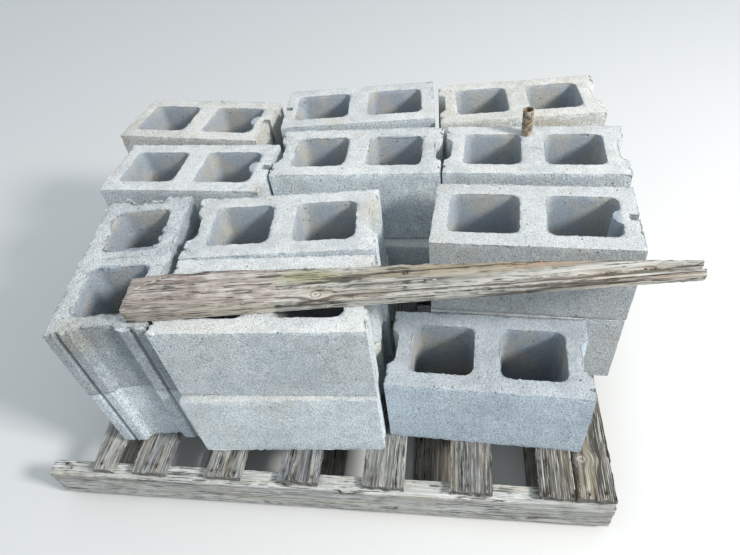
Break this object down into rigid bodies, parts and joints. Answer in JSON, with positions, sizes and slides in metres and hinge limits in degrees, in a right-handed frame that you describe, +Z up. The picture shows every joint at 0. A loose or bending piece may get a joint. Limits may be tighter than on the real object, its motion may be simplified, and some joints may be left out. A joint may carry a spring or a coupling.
{
  "type": "pallet of concrete blocks",
  "caption": "Weathered wooden pallet stacked with hollow concrete blocks in two layers, with a loose board across the top.",
  "frame": {"origin": "middle of the pallet's footprint, on the ground under its bottom boards", "axes": "+X along the stringers to the right, +Y along the deck boards to the back, +Z up"},
  "size_m": [1.3266, 1.016, 0.572],
  "materials": {
    "concrete_light": "coarse, pale grey, speckled with aggregate",
    "concrete_warm": "coarse, pale grey with a sandy tint",
    "concrete_grey": "coarse, mid grey, speckled with aggregate",
    "board_wood": "weathered silver grey with deep grain",
    "stringer_wood": "weathered pale grey, rough sawn",
    "loose_board_wood": "weathered, brown at one end and silver grey at the other",
    "pipe_metal": "rusted and flecked"
  },
  "bodies": {
    "root": {"top_block_back_left": "concrete_warm", "top_block_back_middle": "concrete_light", "top_block_back_right": "concrete_warm", "top_block_second_row_left": "concrete_light", "top_block_second_row_middle": "concrete_light", "top_block_second_row_right": "concrete_light", "top_block_third_row_middle": "concrete_light", "top_block_third_row_right": "concrete_light", "top_block_front_middle": "concrete_light", "top_block_front_left": "concrete_light", "lower_block_back_left": "concrete_warm", "lower_block_back_middle": "concrete_light", "lower_block_back_right": "concrete_warm", "lower_block_second_row_left": "concrete_light", "lower_block_second_row_middle": "concrete_light", "lower_block_second_row_right": "concrete_light", "lower_block_third_row_middle": "concrete_light", "lower_block_third_row_right": "concrete_light", "lower_block_front_middle": "concrete_light", "lower_block_front_left": "concrete_light", "lower_block_front_right": "concrete_grey", "deck_board_1": "board_wood", "deck_board_2": "board_wood", "deck_board_3": "board_wood", "deck_board_4": "board_wood", "deck_board_5": "board_wood", "deck_board_6": "board_wood", "deck_board_7": "board_wood", "deck_board_8": "board_wood", "bottom_board_1": "board_wood", "bottom_board_2": "board_wood", "bottom_board_3": "board_wood", "bottom_board_4": "board_wood", "bottom_board_5": "board_wood", "stringer_front": "stringer_wood", "stringer_middle": "stringer_wood", "stringer_back": "stringer_wood", "loose_board": "loose_board_wood", "pipe_stub": "pipe_metal"}
  },
  "joints": []
}
